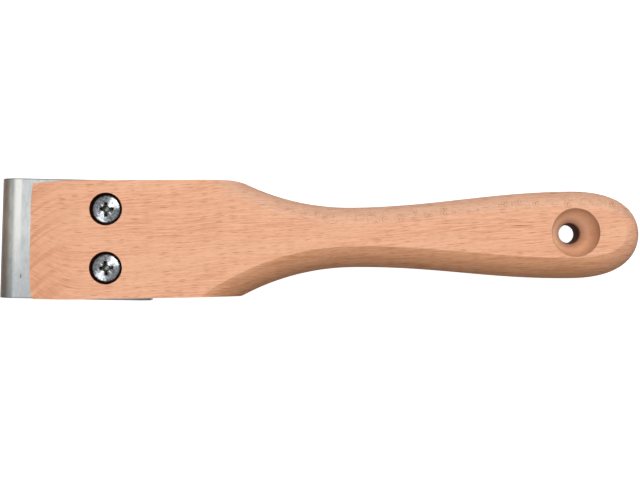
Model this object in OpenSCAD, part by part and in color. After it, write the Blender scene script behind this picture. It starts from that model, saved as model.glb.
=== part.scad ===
// Pull scraper: a beech handle with a bent steel blade bolted under its square head.
// Millimetres. X runs from the blade (minus) to the end of the grip (plus), and Z is up.
// The origin is on the axis of the hanging hole, in the plane of the handle's underside,
// which is also the plane that the blade is clamped against.
// Left and right are the user's: right is plus Y, with the blade pointing away.

/* [Handle] */
// Thickness of the board that the handle is cut from
handle_t = 20; // [18:0.5:24]
// Distance from the hanging hole forward to the front edge of the head
head_reach = 231.8; // [226:0.2:245]
// Width of the head at its front edge
head_front_w = 50.5; // [48:0.1:54]
// Width of the head where the shoulders start
head_rear_w = 49.8; // [47:0.1:53]
// How far out of square the front edge is sawn, in degrees
front_skew = 1.2; // [-2:0.1:2]
// Plan radius of the head's right front corner
front_corner_right_r = 0.8; // [0.4:0.1:5]
// Plan radius of the head's left front corner
front_corner_left_r = 1.8; // [0.4:0.1:5]
// Radius of the hollow curve from the shoulders in to the waist
neck_r = 103.5; // [90:0.5:115]
// Sanding radius of the right shoulder
shoulder_right_r = 23; // [2:1:30]
// Sanding radius of the left shoulder
shoulder_left_r = 5; // [2:1:30]
// Width at the waist, the narrowest place
waist_w = 25.9; // [24:0.1:29]
// Distance from the hanging hole forward to the waist
waist_reach = 94.9; // [88:0.1:98]
// Width of the grip at the hanging hole, the widest place
grip_w = 37.8; // [35:0.1:41]
// How long the outline keeps the waist's direction, as the arm of its curve
waist_arm = 36.3; // [25:0.1:42]
// How long the outline keeps the grip's direction, as the arm of its curve
grip_arm = 36.4; // [25:0.1:42]
// Distance from the hanging hole back to the end of the grip
end_reach = 29.7; // [29:0.1:33]
// Arm of the end's curve along the side of the grip
end_side_arm = 26.3; // [22:0.1:27]
// Arm of the end's curve across the tip
end_tip_arm = 6; // [5:0.1:9]

/* [Rounded edges] */
// How far the rounding of the grip reaches in from its right side
round_right_w = 7.4; // [5:0.1:9]
// How far the rounding of the grip reaches in from its left side
round_left_w = 8.8; // [5:0.1:9]
// Angle by which the rounding breaks from the flats at its crease, in degrees
crease_a = 20; // [10:1:30]

/* [Hanging hole] */
// How far the hole is drilled to the right of the handle's centreline
hang_shift = 0.6; // [-2:0.1:2]
// Diameter of the through bore
hang_bore_d = 8; // [5:0.1:9]
// Length of the through bore, up from the underside
hang_bore_l = 6; // [3:0.1:8]
// Diameter of the bowl's floor, where the bore's flared throat opens
hang_throat_d = 9.5; // [9.2:0.1:14]
// Diameter of the bowl at the top of the wood
hang_bowl_d = 20.6; // [16:0.1:21]
// Depth of the bowl from the top of the wood to its floor
hang_bowl_h = 10.9; // [7:0.1:11.5]

/* [Screws] */
// Distance from the hanging hole forward to the line through both screws
screw_reach = 199.8; // [197:0.1:206]
// Distance between the two screws
screw_pitch = 25; // [22:0.5:27]
// How far the pair of screws is drilled to the right of the handle's centreline
screw_shift = 0.4; // [-1:0.1:1]
// How far out of square the line through the screws is drilled, in degrees
screw_skew = 0.5; // [-1:0.1:1]
// Diameter of the screw's thread
screw_d = 6; // [5:0.1:6.2]
// How far the screw stands out below the nut
screw_out = 1.5; // [0.5:0.1:3]
// Length of the chamfer at the screw's end
screw_chamfer = 0.8; // [0.3:0.1:1.2]
// Diameter of the pan head
pan_d = 11.8; // [10.8:0.1:12.6]
// Height of the pan head
pan_h = 4.4; // [4:0.1:5]
// Height of the pan head's upright side
pan_side_h = 1.6; // [1:0.1:2.2]
// Width of the pan head's rounded shoulder
pan_shoulder_w = 3; // [2:0.1:4]
// Rise of the slight dome on top of the pan head
pan_dome_h = 0.35; // [0.1:0.05:0.6]
// How far the top of the head lies below the wood
pan_sink = 0.2; // [0:0.1:1]
// Diameter of the counterbore that takes the head
counterbore_d = 13.7; // [12.8:0.1:16]
// Diameter of the hole through the wood
wood_hole_d = 6.6; // [6.4:0.1:8]

/* [Drive recess] */
// Width across the cross at the top
cross_w = 7; // [6:0.1:7.6]
// Width across the cross at its floor
cross_floor_w = 3; // [2:0.1:4]
// Depth of the cross
cross_h = 3; // [2:0.1:3.4]
// Thickness of the cross's arms
cross_arm_t = 1.7; // [1.2:0.1:2]
// Side of the square that fills the middle of the cross
cross_core_w = 2.9; // [2.2:0.1:3.2]
// Depth of that square
cross_core_h = 2; // [1:0.1:2.4]
// Width of the four shallow marks between the arms
mark_w = 0.35; // [0.2:0.05:0.6]
// Depth of the marks below the top of the head
mark_h = 0.6; // [0.45:0.05:0.8]
// Distance from the screw's axis to a mark's outer end
mark_reach = 4.1; // [3.4:0.1:4.6]
// Direction of the right screw's cross
right_cross_a = -1; // [-45:1:45]
// Direction of the left screw's cross
left_cross_a = 4; // [-45:1:45]

/* [Blade] */
// Thickness of the steel plate
blade_t = 1.5; // [1:0.1:2]
// Width of the blade, which is the length of its scraping edge
blade_w = 53.2; // [48:0.1:60]
// Length of the blade over both bends
blade_l = 67.7; // [64:0.1:76]
// Distance from the screw holes back to the blade's rear end
blade_rear = 15.7; // [15.2:0.1:18]
// Outer radius of both bends
bend_r = 7; // [4:0.1:8]
// Height of the turned-down front, from the plate's top to the scraping edge
front_lip_h = 11; // [10.8:0.1:14]
// Height of the turned-down rear end
rear_lip_h = 11; // [10.8:0.1:14]
// Height of the ground bevel behind the scraping edge
grind_h = 2.2; // [1:0.1:2.6]
// Thickness left at the scraping edge
edge_t = 0.2; // [0.1:0.05:0.5]
// Diameter of the blade's screw holes
blade_hole_d = 7.2; // [7.1:0.1:8]
// How far the blade has turned askew in the clearance of its holes, in degrees
blade_skew = 1.8; // [0:0.1:2]

/* [Nuts and washers] */
// Outer diameter of the washers
washer_d = 12; // [11:0.1:14]
// Bore of the washers
washer_bore_d = 6.4; // [6.3:0.1:7]
// Thickness of the washers
washer_t = 1.6; // [1:0.1:2]
// Width of the nuts across their flats
nut_w = 10; // [9:0.1:11]
// Height of the nuts
nut_h = 5; // [4:0.1:6]
// Radial clearance of the thread in the nut
thread_clear = 0.05; // [0.02:0.01:0.1]
// Share of the nut's flat width that is left as a round face after chamfering
nut_face_share = 0.95; // [0.9:0.01:0.99]
// Slope of the nut's corner chamfer, in degrees
nut_chamfer_a = 30; // [15:1:45]
// Direction of the right nut's flats
right_nut_a = 12; // [-30:1:30]
// Direction of the left nut's flats
left_nut_a = -21; // [-30:1:30]

/* [Hidden] */

// How far a cut or a block runs past the surface that it crosses
overrun = 1;
// How far outside the hollow curve the sanded shoulders stay
sanding_gap = 0.1;
// Steps in which curves are drawn
neck_steps = 14;
grip_steps = 18;
end_steps = 18;
round_steps = 5;
arc_steps = 10;
bowl_steps = 16;
round_fn = 64;

centreline_y = -hang_shift;
screw_mid = [-screw_reach, centreline_y + screw_shift];
screw_side = screw_pitch / 2 * [sin(screw_skew), cos(screw_skew)];
counterbore_h = pan_h + pan_sink;
seat_z = handle_t - counterbore_h;
screw_l = seat_z + blade_t + washer_t + nut_h + screw_out;
half_t = handle_t / 2;
waist_half = waist_w / 2;
rear_half = head_rear_w / 2;
front_half = head_front_w / 2;
end_round_w = (round_right_w + round_left_w) / 2;

// A point, or the direction, of a cubic curve with end points a and d and arms to b and c
function curve(a, b, c, d, t) =
    pow(1 - t, 3) * a + 3 * pow(1 - t, 2) * t * b + 3 * (1 - t) * t * t * c + pow(t, 3) * d;
function heading(a, b, c, d, t) =
    pow(1 - t, 2) * (b - a) + 2 * (1 - t) * t * (c - b) + t * t * (d - c);
function outward(v) = [-v[1], v[0]] / norm(v);

// The outline of the grip at half its thickness, for a handle's right side, from front to tip.
// Each entry is [point, outward direction, width of the rounding there].
function flare_a(round_w) = acos((waist_half + neck_r - rear_half - overrun) / (neck_r + round_w));
function neck_point(a) = [-waist_reach - neck_r * sin(a), waist_half + neck_r * (1 - cos(a))];
function neck_outline(round_w) = [
    for (i = [0 : neck_steps - 1])
        let (a = flare_a(round_w) * (1 - i / neck_steps))
        [neck_point(a), [sin(a), cos(a)], round_w]
];
function grip_outline(round_w) =
    let (a = [-waist_reach, waist_half], b = a + [waist_arm, 0], d = [0, grip_w / 2], c = d - [grip_arm, 0])
    [
        for (i = [0 : grip_steps - 1])
            let (t = i / grip_steps)
            [curve(a, b, c, d, t), outward(heading(a, b, c, d, t)), round_w]
    ];
function end_outline(round_w) =
    let (a = [0, grip_w / 2], b = a + [end_side_arm, 0], d = [end_reach, 0], c = d + [0, end_tip_arm])
    [
        for (i = [0 : end_steps])
            let (t = i / end_steps)
            [curve(a, b, c, d, t), outward(heading(a, b, c, d, t)), round_w + (end_round_w - round_w) * t]
    ];
function front_outline(round_w) = [
    [[-head_reach - overrun, neck_point(flare_a(round_w))[1]], [0, 1], 0]
];
function side_outline(round_w) = concat(
    front_outline(round_w), neck_outline(round_w), grip_outline(round_w), end_outline(round_w)
);
function mirrored(side) = [for (e = side) [[e[0][0], -e[0][1]], [e[1][0], -e[1][1]], e[2]]];
// The left side runs back from the tip, and leaves the tip's own point to the right side.
function full_outline() =
    let (left = mirrored(side_outline(round_left_w)), last = len(left) - 1)
    concat(side_outline(round_right_w), [for (i = [last - 1 : -1 : 0]) left[i]]);

// The rounding is an arc that breaks from the flats at a crease and is steepest at half the
// thickness, where the arcs of the upper and the lower half meet.
function chord_a(round_w) = atan(half_t / round_w);
function top_a(round_w) = max(crease_a, 2 * chord_a(round_w) - 90);
function side_a(round_w) = 2 * chord_a(round_w) - top_a(round_w);
function round_r(round_w) = norm([round_w, half_t]) / (2 * sin((side_a(round_w) - top_a(round_w)) / 2));
function rounded_point(e, share) =
    e[2] == 0
    ? [e[0][0], e[0][1], half_t * (1 + share)]
    : let (
        steep = side_a(e[2]),
        slope = steep + (top_a(e[2]) - steep) * abs(share),
        p = e[0] - e[1] * round_r(e[2]) * (sin(steep) - sin(slope))
    )
    [p[0], p[1], half_t + sign(share) * round_r(e[2]) * (cos(slope) - cos(steep))];

// Everything that the rounding leaves: the grip, and a flare that only meets the head's shoulders
module rounded_body() {
    outline = full_outline();
    n = len(outline);
    rings = 2 * round_steps + 1;
    points = [
        for (k = [-round_steps : round_steps], e = outline) rounded_point(e, k / round_steps)
    ];
    sides = [
        for (k = [0 : rings - 2], i = [0 : n - 1])
            let (j = (i + 1) % n, a = k * n + i, b = k * n + j, c = b + n, d = a + n)
            each [[a, b, c], [a, c, d]]
    ];
    // The flats are laid across from side to side, because the outline is hollow at the neck
    tip = (n - 1) / 2;
    top = (rings - 1) * n;
    flats = [
        for (i = [0 : tip - 2])
            let (a = i, b = i + 1, c = n - 2 - i, d = n - 1 - i)
            each [
                [top + a, top + b, top + c], [top + a, top + c, top + d],
                [d, c, b], [d, b, a]
            ],
        [top + tip - 1, top + tip, top + tip + 1],
        [tip + 1, tip, tip - 1]
    ];
    polyhedron(points = points, faces = concat(sides, flats), convexity = 4);
}

// The sawn board: straight head, sanded shoulders, and behind them room for the rounded body
function corner(r, skew) = [
    for (i = [0 : arc_steps])
        let (a = 90 * i / arc_steps)
        [front_half * tan(skew) - head_reach + r - r * cos(a), front_half - r + r * sin(a)]
];
function shoulder(r) =
    let (
        reach = neck_r - sanding_gap + r,
        turn = acos((waist_half + neck_r - rear_half + r) / reach),
        middle = [-waist_reach - reach * sin(turn), rear_half - r]
    )
    [
        for (i = [0 : arc_steps])
            let (a = turn * i / arc_steps)
            middle + r * [sin(a), cos(a)]
    ];
function board_side(corner_r, shoulder_r, skew) =
    let (bend = shoulder(shoulder_r), last = bend[arc_steps])
    concat(corner(corner_r, skew), bend, [[last[0], front_half + overrun], [end_reach + overrun, front_half + overrun]]);

module board() {
    right = board_side(front_corner_right_r, shoulder_right_r, front_skew);
    left = board_side(front_corner_left_r, shoulder_left_r, -front_skew);
    last = len(left) - 1;
    linear_extrude(height = handle_t)
        polygon(concat(right, [for (i = [last : -1 : 0]) [left[i][0], -left[i][1]]]));
}

// The hanging hole: a plain bore, a flared throat and a deep bowl, all round one axis
module hanging_hole() {
    bore_r = hang_bore_d / 2;
    throat_r = hang_throat_d / 2;
    bowl_r = hang_bowl_d / 2;
    floor_a = acos(throat_r / bowl_r);
    bowl = [
        for (i = [0 : bowl_steps])
            let (a = floor_a * (1 - i / bowl_steps))
            [bowl_r * cos(a), handle_t - hang_bowl_h * sin(a) / sin(floor_a)]
    ];
    rotate_extrude($fn = round_fn)
        polygon(concat(
            [[0, -overrun], [bore_r, -overrun], [bore_r, hang_bore_l]],
            bowl,
            [[bowl_r, handle_t + overrun], [0, handle_t + overrun]]
        ));
}

module screw_hole() {
    translate([0, 0, -overrun])
        cylinder(h = handle_t, d = wood_hole_d, $fn = round_fn);
    translate([0, 0, seat_z])
        cylinder(h = counterbore_h + overrun, d = counterbore_d, $fn = round_fn);
}

module handle() {
    color([0.88, 0.67, 0.54])
        difference() {
            translate([0, centreline_y, 0])
                intersection() {
                    rounded_body();
                    board();
                }
            hanging_hole();
            for (side = [-1, 1])
                on_screw_axis(side, 0)
                    screw_hole();
        }
}

// One turned-down end of the blade with its outer face at x = 0, lying on its side.
// The grind thins the end from the inside down to the thickness tip_t.
module lip(height, tip_t) {
    ground = blade_t > tip_t ? grind_h : 0;
    translate([bend_r, -bend_r, 0])
        rotate([0, 0, 90])
            rotate_extrude(angle = 90, $fn = round_fn)
                translate([bend_r - blade_t, 0])
                    square([blade_t, blade_w]);
    linear_extrude(height = blade_w)
        polygon([
            [0, -bend_r],
            [blade_t, -bend_r],
            [blade_t, ground - height],
            [tip_t, -height],
            [0, -height]
        ]);
}

// The whole bent plate on its side, with x = 0 on the screw line
module bent_plate() {
    translate([blade_rear - blade_l, 0, 0])
        lip(front_lip_h, edge_t);
    translate([blade_rear - blade_l + bend_r, -blade_t, 0])
        cube([blade_l - 2 * bend_r, blade_t, blade_w]);
    translate([blade_rear, 0, 0])
        mirror([1, 0, 0])
            lip(rear_lip_h, blade_t);
}

module blade() {
    color([0.74, 0.76, 0.77])
        translate([screw_mid[0], screw_mid[1], 0])
            rotate([0, 0, -blade_skew])
                difference() {
                    translate([0, blade_w / 2, 0])
                        rotate([90, 0, 0])
                            bent_plate();
                    for (side = [-1, 1])
                        translate([0, side * screw_pitch / 2, -blade_t - overrun])
                            cylinder(h = blade_t + 2 * overrun, d = blade_hole_d, $fn = round_fn);
                }
}

// Four-armed recess with a square core and a shallow mark between each pair of arms
module drive_recess() {
    height = cross_h + overrun;
    spread = (cross_w - cross_floor_w) / cross_h;
    translate([0, 0, pan_h - cross_h])
        intersection() {
            cylinder(h = height, d1 = cross_floor_w, d2 = cross_floor_w + spread * height, $fn = round_fn);
            for (turn = [0, 90])
                rotate([0, 0, turn])
                    translate([-cross_w, -cross_arm_t / 2, 0])
                        cube([2 * cross_w, cross_arm_t, height]);
        }
    translate([-cross_core_w / 2, -cross_core_w / 2, pan_h - cross_core_h])
        cube([cross_core_w, cross_core_w, cross_core_h + overrun]);
    for (turn = [45 : 90 : 315])
        rotate([0, 0, turn])
            translate([0, -mark_w / 2, pan_h - mark_h])
                cube([mark_reach, mark_w, mark_h + overrun]);
}

// A machine screw with z = 0 under its pan head
module screw(cross_a) {
    pan_r = pan_d / 2;
    top_r = pan_r - pan_shoulder_w;
    shoulder_h = pan_h - pan_dome_h - pan_side_h;
    edge = [
        for (i = [0 : arc_steps])
            let (a = 90 * i / arc_steps)
            [top_r + pan_shoulder_w * cos(a), pan_side_h + shoulder_h * sin(a)]
    ];
    dome = [
        for (i = [1 : arc_steps])
            let (share = 1 - i / arc_steps)
            [top_r * share, pan_h - pan_dome_h * share * share]
    ];
    color([0.78, 0.79, 0.8])
        difference() {
            rotate_extrude($fn = round_fn)
                polygon(concat(
                    [
                        [0, -screw_l],
                        [screw_d / 2 - screw_chamfer, -screw_l],
                        [screw_d / 2, screw_chamfer - screw_l],
                        [screw_d / 2, 0],
                        [pan_r, 0]
                    ],
                    edge,
                    dome
                ));
            rotate([0, 0, cross_a])
                drive_recess();
        }
}

module washer() {
    color([0.72, 0.73, 0.75])
        translate([0, 0, -washer_t])
            difference() {
                cylinder(h = washer_t, d = washer_d, $fn = round_fn);
                translate([0, 0, -overrun])
                    cylinder(h = washer_t + 2 * overrun, d = washer_bore_d, $fn = round_fn);
            }
}

module nut(flats_a) {
    corner_r = nut_w / 2 / cos(30);
    face_r = nut_face_share * nut_w / 2;
    block_r = corner_r + overrun;
    chamfer_h = (block_r - face_r) * tan(nut_chamfer_a);
    color([0.7, 0.71, 0.73])
        translate([0, 0, -nut_h])
            difference() {
                intersection() {
                    rotate([0, 0, flats_a])
                        linear_extrude(height = nut_h)
                            circle(r = corner_r, $fn = 6);
                    rotate_extrude($fn = round_fn)
                        polygon([
                            [0, 0],
                            [face_r, 0],
                            [block_r, chamfer_h],
                            [block_r, nut_h - chamfer_h],
                            [face_r, nut_h],
                            [0, nut_h]
                        ]);
                }
                translate([0, 0, -overrun])
                    cylinder(h = nut_h + 2 * overrun, r = screw_d / 2 + thread_clear, $fn = round_fn);
            }
}

// Puts a fastener on the left (-1) or right (1) screw's axis at height z
module on_screw_axis(side, z) {
    translate([screw_mid[0] + side * screw_side[0], screw_mid[1] + side * screw_side[1], z])
        children();
}

module left_screw() {
    on_screw_axis(-1, seat_z) screw(left_cross_a);
}

module right_screw() {
    on_screw_axis(1, seat_z) screw(right_cross_a);
}

module left_washer() {
    on_screw_axis(-1, -blade_t) washer();
}

module right_washer() {
    on_screw_axis(1, -blade_t) washer();
}

module left_nut() {
    on_screw_axis(-1, -blade_t - washer_t) nut(left_nut_a);
}

module right_nut() {
    on_screw_axis(1, -blade_t - washer_t) nut(right_nut_a);
}

handle();
blade();
left_screw();
right_screw();
left_washer();
right_washer();
left_nut();
right_nut();
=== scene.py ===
from math import acos, atan, atan2, cos, floor, hypot, pi, sin, sqrt, tan

import bmesh
import bpy
from mathutils import Matrix, Vector
from mathutils.geometry import interpolate_bezier


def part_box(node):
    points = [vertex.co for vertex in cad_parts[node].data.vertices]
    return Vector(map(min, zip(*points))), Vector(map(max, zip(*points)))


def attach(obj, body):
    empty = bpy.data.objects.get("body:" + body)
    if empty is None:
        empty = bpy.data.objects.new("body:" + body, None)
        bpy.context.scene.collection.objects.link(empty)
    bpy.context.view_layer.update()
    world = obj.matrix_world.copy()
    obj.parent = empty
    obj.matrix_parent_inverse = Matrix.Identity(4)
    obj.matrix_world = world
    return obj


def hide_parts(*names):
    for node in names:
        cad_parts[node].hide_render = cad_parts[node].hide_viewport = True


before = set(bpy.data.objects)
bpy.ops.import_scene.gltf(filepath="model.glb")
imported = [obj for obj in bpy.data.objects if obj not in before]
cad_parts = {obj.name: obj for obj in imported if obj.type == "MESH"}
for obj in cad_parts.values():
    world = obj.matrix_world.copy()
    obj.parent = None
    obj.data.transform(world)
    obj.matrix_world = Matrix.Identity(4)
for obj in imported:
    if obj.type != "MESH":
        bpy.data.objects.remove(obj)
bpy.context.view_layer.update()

# Handle
# One piece of straight-grained beech, 20 mm thick, bandsawn to shape. Its grip was run round
# with a cutter from both faces, which leaves a crease along each flat. The square head stayed
# sawn, its edges eased and its front corners sanded off, and the wood was left bare.
MM = 0.001
DEG = pi / 180

handle_low, handle_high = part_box("handle")
board_t = handle_high.z
half_t = board_t / 2
centreline_y = -0.6 * MM
waist_half = 25.9 / 2 * MM
waist_x = -94.9 * MM
neck_r = 103.5 * MM
grip_half = 37.8 / 2 * MM
waist_arm = 36.3 * MM
grip_arm = 36.4 * MM
tip_x = handle_high.x
end_side_arm = 26.3 * MM
end_tip_arm = 6 * MM
front_x = -231.6 * MM
front_half = 50.5 / 2 * MM
rear_half = 49.8 / 2 * MM
front_slope = tan(1.2 * DEG)
right_side = {
    "hand": 1, "round_w": 7.4 * MM, "shoulder_r": 23 * MM,
    "corner_r": 1.2 * MM, "side_in": 1 * MM, "front_in": 0.5 * MM,
}
left_side = {
    "hand": -1, "round_w": 8.8 * MM, "shoulder_r": 5 * MM,
    "corner_r": 1.5 * MM, "side_in": 0.4 * MM, "front_in": 0.75 * MM,
}
side_sanded = 14.5 * MM
front_sanded = 9 * MM
shoulder_in = 0.1 * MM
crease_a = 20 * DEG
head_ease = 0.6 * MM
overrun = 1 * MM


def piece(name, bm):
    """A scene object with the built mesh, at the origin."""
    mesh = bpy.data.meshes.new(name)
    bmesh.ops.recalc_face_normals(bm, faces=bm.faces)
    bm.to_mesh(mesh)
    bm.free()
    made = bpy.data.objects.new(name, mesh)
    bpy.context.scene.collection.objects.link(made)
    return made


def carve(target, tool, operation="DIFFERENCE"):
    """Cuts the target with the tool, or keeps what both share, and removes the tool."""
    step = target.modifiers.new(operation, "BOOLEAN")
    step.operation = operation
    step.solver = "EXACT"
    step.object = tool
    shaped = target.evaluated_get(bpy.context.evaluated_depsgraph_get())
    mesh = bpy.data.meshes.new_from_object(shaped)
    target.modifiers.clear()
    before, target.data = target.data, mesh
    bpy.data.meshes.remove(before)
    bpy.data.meshes.remove(tool.data)
    mesh.name = target.name


def smooth(obj, sharp_a, bevel_w=0, bevel_a=30 * DEG):
    """Eases edges over bevel_a, shades smooth below sharp_a, and keeps the flats flat."""
    if bevel_w:
        ease = obj.modifiers.new("ease", "BEVEL")
        ease.width = bevel_w
        ease.segments = 3
        ease.limit_method = "ANGLE"
        ease.angle_limit = bevel_a
    obj.data.shade_smooth()
    obj.data.set_sharp_from_angle(angle=sharp_a)
    weigh = obj.modifiers.new("flats", "WEIGHTED_NORMAL")
    weigh.keep_sharp = True


def lathe(bm, profile, steps=96, centre=(0, 0, 0)):
    """Spins a profile of (radius, height) points into a closed solid round a vertical axis."""
    middle = Vector(centre)
    verts = [bm.verts.new(middle + Vector((r, 0, z))) for r, z in profile]
    edges = [bm.edges.new(pair) for pair in zip(verts, verts[1:])]
    bmesh.ops.spin(
        bm, geom=verts + edges, cent=middle, axis=(0, 0, 1), angle=2 * pi, steps=steps,
        use_merge=True, use_duplicate=False,
    )
    bmesh.ops.remove_doubles(bm, verts=bm.verts, dist=1e-7)


def arc(centre, radius, start, end, steps):
    """Points along an arc in a plane, with angles counted from its first axis."""
    angles = [start + (end - start) * i / steps for i in range(steps + 1)]
    return [(centre[0] + radius * cos(a), centre[1] + radius * sin(a)) for a in angles]


def grip_side(side):
    """The outline at half the thickness, from the neck's flare to the tip, with rounding widths."""
    round_w, end_w = side["round_w"], (right_side["round_w"] + left_side["round_w"]) / 2
    reach = neck_r + round_w
    flare = acos((waist_half + neck_r - rear_half - overrun) / reach)
    neck = arc((waist_x, waist_half + neck_r), neck_r, -pi / 2 - flare, -pi / 2, 40)
    grip = interpolate_bezier(
        (waist_x, waist_half, 0), (waist_x + waist_arm, waist_half, 0),
        (-grip_arm, grip_half, 0), (0, grip_half, 0), 61,
    )
    end = interpolate_bezier(
        (0, grip_half, 0), (end_side_arm, grip_half, 0), (tip_x, end_tip_arm, 0), (tip_x, 0, 0), 61,
    )
    points = [Vector((x, y)) for x, y in neck[:-1]] + [v.to_2d() for v in grip[:-1] + end]
    made = []
    for i, here in enumerate(points):
        before, after = points[max(i - 1, 0)], points[min(i + 1, len(points) - 1)]
        along = (after - before).normalized()
        outward = Vector((-along.y, along.x)) if i < len(points) - 1 else Vector((1, 0))
        share = max(0, i - len(neck) - len(grip) + 2) / (len(end) - 1)
        made.append((here, outward, round_w + (end_w - round_w) * share))
    front = (Vector((front_x - overrun, points[0].y)), Vector((0, 1)), 0)
    return [front] + made


def rounded(entry, share):
    """A point of the rounding at a share of half the thickness, from the middle to the crease."""
    point, outward, width = entry
    if not width:
        return Vector((point.x, point.y + centreline_y, half_t * (1 + share)))
    chord = atan(half_t / width)
    top = max(crease_a, 2 * chord - pi / 2)
    steep = 2 * chord - top
    radius = hypot(width, half_t) / (2 * sin((steep - top) / 2))
    slope = steep + (top - steep) * abs(share)
    inner = point - outward * radius * (sin(steep) - sin(slope))
    rise = radius * (cos(slope) - cos(steep)) * (1 if share > 0 else -1)
    return Vector((inner.x, inner.y + centreline_y, half_t + rise))


def mirrored(entries):
    """The same outline on the other side of the centreline."""
    return [(Vector((p.x, -p.y)), Vector((n.x, -n.y)), w) for p, n, w in entries]


def ring_above(bm, ring, places):
    """Extrudes a closed ring of vertices once and sets the new ring's places."""
    loop = [bm.edges.get((a, b)) for a, b in zip(ring, ring[1:] + ring[:1])]
    made = bmesh.ops.extrude_edge_only(bm, edges=loop)["geom"]
    fresh = {v for v in made if isinstance(v, bmesh.types.BMVert)}
    above = [next(e.other_vert(v) for e in v.link_edges if e.other_vert(v) in fresh) for v in ring]
    for vert, place in zip(above, places):
        vert.co = place
    return above


round_steps = 16
outline = grip_side(right_side) + mirrored(grip_side(left_side))[-2::-1]
bm = bmesh.new()
ring = [bm.verts.new(rounded(entry, -1)) for entry in outline]
for pair in zip(ring, ring[1:] + ring[:1]):
    bm.edges.new(pair)
bmesh.ops.contextual_create(bm, geom=ring + list(bm.edges))
for k in range(1 - round_steps, round_steps + 1):
    ring = ring_above(bm, ring, [rounded(entry, k / round_steps) for entry in outline])
top_edges = [bm.edges.get((a, b)) for a, b in zip(ring, ring[1:] + ring[:1])]
bmesh.ops.contextual_create(bm, geom=ring + top_edges)
handle = piece("handle_shaped", bm)


def board_side(side):
    """The sawn outline on one side: sanded front corner, straight side, sanded shoulder."""
    r, start = side["corner_r"], front_x + side["hand"] * front_half * front_slope
    eased_x, eased_y = start + side["front_in"] + r, front_half - side["side_in"] - r
    lean = side["hand"] * front_sanded * front_slope
    corner = [(start - lean, front_half - front_sanded)]
    corner += arc((eased_x, eased_y), r, pi, pi / 2, 8) + [(front_x + side_sanded, front_half)]
    r = side["shoulder_r"]
    reach = neck_r - shoulder_in + r
    turn = acos((waist_half + neck_r - rear_half + r) / reach)
    shoulder = arc((waist_x - reach * sin(turn), rear_half - r), r, pi / 2, pi / 2 - turn, 12)
    wide = front_half + overrun
    return corner + shoulder + [(shoulder[-1][0], wide), (tip_x + overrun, wide)]


plan = board_side(right_side) + [(x, -y) for x, y in reversed(board_side(left_side))]
proud = 0.002 * MM
bm = bmesh.new()
floor_verts = [bm.verts.new((x, y + centreline_y, -proud)) for x, y in plan]
sawn = bm.faces.new(floor_verts)
lifted = bmesh.ops.extrude_face_region(bm, geom=[sawn], use_keep_orig=True)["geom"]
lifted = [v for v in lifted if isinstance(v, bmesh.types.BMVert)]
bmesh.ops.translate(bm, verts=lifted, vec=(0, 0, board_t + 2 * proud))
bmesh.ops.recalc_face_normals(bm, faces=bm.faces)
rims = [e for e in bm.edges if abs(e.verts[0].co.z - e.verts[1].co.z) < proud]
bmesh.ops.bevel(
    bm, geom=rims, offset=head_ease, offset_type="OFFSET", segments=6, profile=0.5,
    affect="EDGES", clamp_overlap=True, material=-1,
)
carve(handle, piece("sawn_board", bm), "INTERSECT")

# Hanging hole and screw seats in the handle
# The hanging hole is bored from below, flares through a short throat, and opens upwards in a deep
# bowl that a round cutter left. Each screw has a flat-bottomed counterbore, whose walls the wood's
# material paints dark: partly wood the cutter burnt, partly painted shade.
bore_r = 8 / 2 * MM
bore_l = 6 * MM
throat_r = 9.5 / 2 * MM
bowl_r = 20.6 / 2 * MM
bowl_h = 10.9 * MM
rim_ease = 0.35 * MM
counterbore_r = 13.7 / 2 * MM
wood_hole_r = 6.6 / 2 * MM
seat_z = board_t - 4.6 * MM
seat_ease = 0.25 * MM


def screw_axis(side):
    """The middle of a washer in plan, which is its screw's axis."""
    low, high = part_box(f"{side}_washer")
    return (low + high) / 2 * Vector((1, 1, 0))


axes = {side: screw_axis(side) for side in ("left", "right")}


bowl_floor_a = acos(throat_r / bowl_r)
bowl_steepness = bowl_h / (bowl_r * sin(bowl_floor_a))
bowl = [
    (r, board_t - depth * bowl_steepness)
    for r, depth in arc((0, 0), bowl_r, bowl_floor_a, rim_ease / bowl_h, 32)
]
rim = arc((bowl_r + rim_ease, board_t - rim_ease), rim_ease, pi, pi / 2, 8)
foot = arc((bore_r + rim_ease, rim_ease), rim_ease, -pi / 2, -pi, 8)
bottom = [(0, -overrun), (bore_r + rim_ease, -overrun)]
top = [(bowl_r + rim_ease, board_t + overrun), (0, board_t + overrun)]
bm = bmesh.new()
lathe(bm, bottom + foot + [(bore_r, bore_l)] + bowl + rim + top, 128)
carve(handle, piece("hanging_cutter", bm))

bottom = [(0, -overrun), (wood_hole_r, -overrun), (wood_hole_r, seat_z), (counterbore_r, seat_z)]
rim = arc((counterbore_r + seat_ease, board_t - seat_ease), seat_ease, pi, pi / 2, 8)
top = [(counterbore_r + seat_ease, board_t + overrun), (0, board_t + overrun)]
bm = bmesh.new()
for axis in axes.values():
    lathe(bm, bottom + rim + top, 96, axis)
carve(handle, piece("seat_cutters", bm))
smooth(handle, 14 * DEG)


def linear(hex_colour):
    """The linear colour of an sRGB hex value."""
    shares = [int(hex_colour[i:i + 2], 16) / 255 for i in (0, 2, 4)]
    return [c / 12.92 if c <= 0.04045 else ((c + 0.055) / 1.055) ** 2.4 for c in shares] + [1]


def pattern_scale(*size):
    """The scale that gives a pattern's features this size in millimetres."""
    return [1 / (s * MM) for s in size]


def add(tree, kind, inputs=None, **settings):
    """Adds a shader node with its settings, and sets each input to a value or links it."""
    made = tree.nodes.new("ShaderNode" + kind)
    for name, value in settings.items():
        setattr(made, name, value)
    for name, value in (inputs or {}).items():
        if isinstance(value, bpy.types.NodeSocket):
            tree.links.new(value, made.inputs[name])
        else:
            made.inputs[name].default_value = value
    return made


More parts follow.
